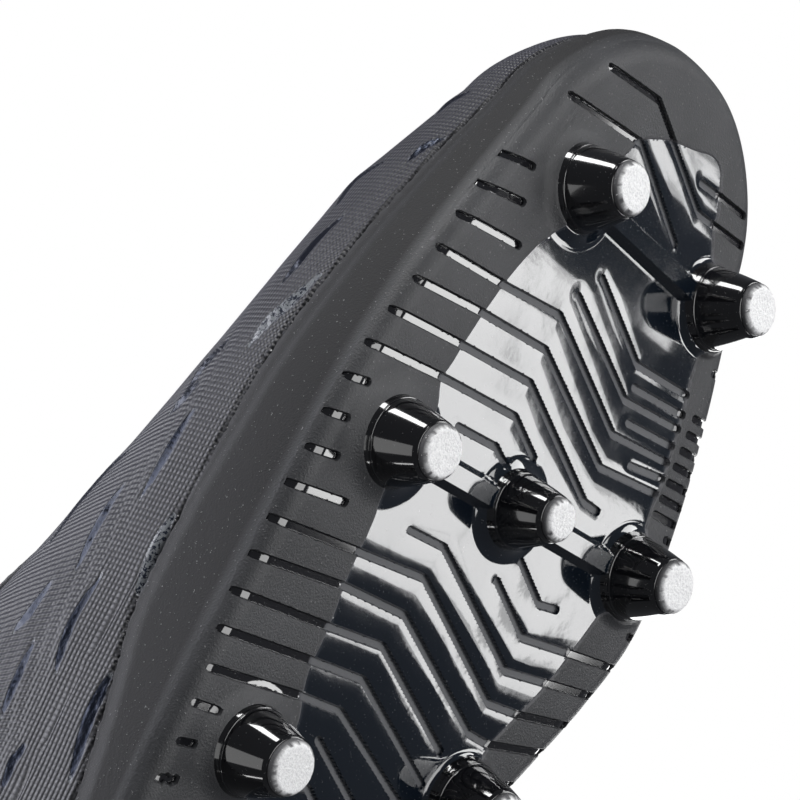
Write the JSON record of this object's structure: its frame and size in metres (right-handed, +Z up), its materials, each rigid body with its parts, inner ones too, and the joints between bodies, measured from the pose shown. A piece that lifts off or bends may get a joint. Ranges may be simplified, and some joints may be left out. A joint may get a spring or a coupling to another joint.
{
  "type": "soccer cleat",
  "caption": "Right-foot soccer cleat with a two-tone moulded sole, conical metal-tipped studs, textured upper, laces and lift-out sockliner.",
  "frame": {"origin": "middle of the cleat's bounding box, on the ground plane under the stud tips", "axes": "+X from heel to toe, +Y to the inner (big toe) side, +Z up"},
  "size_m": [0.2846, 0.0957, 0.1155],
  "materials": {
    "moulded_gloss": "high gloss, nearly black",
    "moulded_matte": "fine-grained matte, dark grey",
    "stud_gloss": "high gloss black",
    "tip_metal": "rough, granular, pale grey",
    "board": "stiff fibre board",
    "foam": "textile-covered foam",
    "stiffener": "thermoplastic sheet",
    "textured_synthetic": "embossed synthetic, satin",
    "lining_textile": "brushed textile",
    "lace_textile": "woven lace"
  },
  "bodies": {
    "boot": {"outsole_frame": "moulded_matte", "outsole_core": "moulded_gloss", "insole_board": "board", "upper": "textured_synthetic", "heel_panel": "textured_synthetic", "vamp_lining": "lining_textile", "heel_lining": "lining_textile", "collar_padding": "foam", "toe_puff": "stiffener", "heel_counter": "stiffener", "eyestay_outer": "textured_synthetic", "eyestay_inner": "textured_synthetic", "lace": "lace_textile", "stud_toe_outer": "stud_gloss", "tip_toe_outer": "tip_metal", "stud_toe_inner": "stud_gloss", "tip_toe_inner": "tip_metal", "stud_ball_outer": "stud_gloss", "tip_ball_outer": "tip_metal", "stud_ball_centre": "stud_gloss", "tip_ball_centre": "tip_metal", "stud_ball_inner": "stud_gloss", "tip_ball_inner": "tip_metal", "stud_waist_outer": "stud_gloss", "tip_waist_outer": "tip_metal", "stud_waist_inner": "stud_gloss", "tip_waist_inner": "tip_metal", "stud_heel_front_outer": "stud_gloss", "tip_heel_front_outer": "tip_metal", "stud_heel_front_inner": "stud_gloss", "tip_heel_front_inner": "tip_metal", "stud_heel_rear_outer": "stud_gloss", "tip_heel_rear_outer": "tip_metal", "stud_heel_rear_inner": "stud_gloss", "tip_heel_rear_inner": "tip_metal"},
    "sockliner": {"sockliner": "foam"},
    "tongue": {"tongue": "foam"}
  },
  "joints": [
    {"name": "sockliner_lift", "type": "hinge", "parent": "boot", "child": "sockliner", "pos_m": [0.13499, 0.0035, 0.03228], "axis": [0, 1, 0], "range_deg": [0, 3.2]},
    {"name": "tongue_press", "type": "hinge", "parent": "boot", "child": "tongue", "pos_m": [0.05426, 0.00029, 0.05779], "axis": [0, 1, 0], "range_deg": [-8, 0], "stiffness_Nm_per_rad": 0.5, "springref_deg": 2.86}
  ]
}
